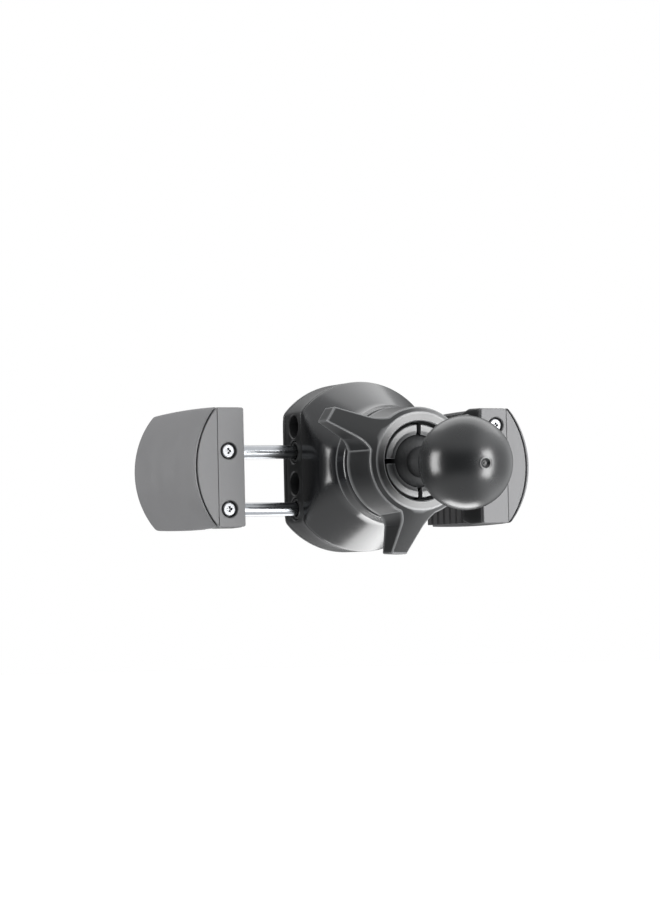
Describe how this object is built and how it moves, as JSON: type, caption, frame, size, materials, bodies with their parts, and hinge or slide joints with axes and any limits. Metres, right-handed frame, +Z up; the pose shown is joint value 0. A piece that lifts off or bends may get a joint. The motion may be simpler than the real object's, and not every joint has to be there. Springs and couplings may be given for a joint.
{
  "type": "phone handlebar mount",
  "caption": "Spring-loaded phone cradle on a ball stud: two sliding grey jaws on steel rods, a flared black housing and a winged clamp nut on a ball joint.",
  "frame": {"origin": "centre of the one-inch mounting ball", "axes": "+Y from the ball towards the phone, +X to the right and +Z up as seen from the ball"},
  "size_m": [0.1066, 0.1251, 0.0501],
  "materials": {
    "arm_grey": "satin grey coat, fine orange peel",
    "black_plastic": "moulded black, fine texture",
    "gloss_black": "glossy black moulding",
    "nut_black": "satin black with lighter edges",
    "stud_black": "black coated metal",
    "ball_rubber": "smooth satin rubber",
    "soft_rubber": "matt black rubber",
    "seat_nylon": "natural nylon",
    "polished_steel": "bright polished round bar",
    "screw_steel": "bright plated",
    "spring_steel": "drawn wire"
  },
  "bodies": {
    "stud": {"ball_stud": "stud_black", "rubber_ball": "ball_rubber"},
    "seat": {"ball_seat": "seat_nylon"},
    "seat_ring": {"seat_pad": "soft_rubber"},
    "cradle": {"split_collet": "nut_black", "seat_plug": "black_plastic", "bell_cover": "gloss_black", "housing_body": "black_plastic", "front_cover": "black_plastic", "phone_pad": "soft_rubber", "housing_screw_1": "screw_steel", "housing_screw_2": "screw_steel", "housing_screw_3": "screw_steel", "housing_screw_4": "screw_steel", "right_rod_bush_1": "black_plastic", "right_return_spring_1": "spring_steel", "right_rod_bush_2": "black_plastic", "right_return_spring_2": "spring_steel", "left_rod_bush_1": "black_plastic", "left_return_spring_1": "spring_steel", "left_rod_bush_2": "black_plastic", "left_return_spring_2": "spring_steel"},
    "nut": {"clamp_nut": "nut_black"},
    "right_arm": {"right_arm_shell": "arm_grey", "right_face_plate": "arm_grey", "right_arm_core": "black_plastic", "right_grip_pad": "soft_rubber", "right_guide_rod_1": "polished_steel", "right_rod_clip_1": "spring_steel", "right_rod_screw_1": "screw_steel", "right_guide_rod_2": "polished_steel", "right_rod_clip_2": "spring_steel", "right_rod_screw_2": "screw_steel"},
    "left_arm": {"left_arm_shell": "arm_grey", "left_face_plate": "arm_grey", "left_arm_core": "black_plastic", "left_grip_pad": "soft_rubber", "left_guide_rod_1": "polished_steel", "left_rod_clip_1": "spring_steel", "left_rod_screw_1": "screw_steel", "left_guide_rod_2": "polished_steel", "left_rod_clip_2": "spring_steel", "left_rod_screw_2": "screw_steel"}
  },
  "joints": [
    {"name": "socket_tilt", "type": "hinge", "parent": "stud", "child": "seat", "pos_m": [0.0017, 0.0365, 0.0018], "axis": [1, 0, 0], "range_deg": [-15, 15]},
    {"name": "socket_swing", "type": "hinge", "parent": "seat", "child": "seat_ring", "pos_m": [0.0017, 0.0365, 0.0018], "axis": [0, 0, 1], "range_deg": [-15, 15]},
    {"name": "socket_turn", "type": "hinge", "parent": "seat_ring", "child": "cradle", "pos_m": [0.0017, 0.0365, 0.0018], "axis": [0, 1, 0], "continuous": true},
    {"name": "nut_turn", "type": "hinge", "parent": "cradle", "child": "nut", "pos_m": [0.0017, 0.0365, 0.0018], "axis": [0, -1, 0], "range_deg": [0, 90]},
    {"name": "right_jaw_slide", "type": "slide", "parent": "cradle", "child": "right_arm", "axis": [1, 0, 0], "range_m": [-0.0145, 0.006], "stiffness_N_per_m": 300, "springref_m": -0.02, "deforming": ["right_return_spring_1", "right_return_spring_2"]},
    {"name": "left_jaw_slide", "type": "slide", "parent": "cradle", "child": "left_arm", "axis": [-1, 0, 0], "range_m": [-0.0145, 0.006], "stiffness_N_per_m": 300, "springref_m": -0.02, "deforming": ["left_return_spring_1", "left_return_spring_2"]}
  ]
}
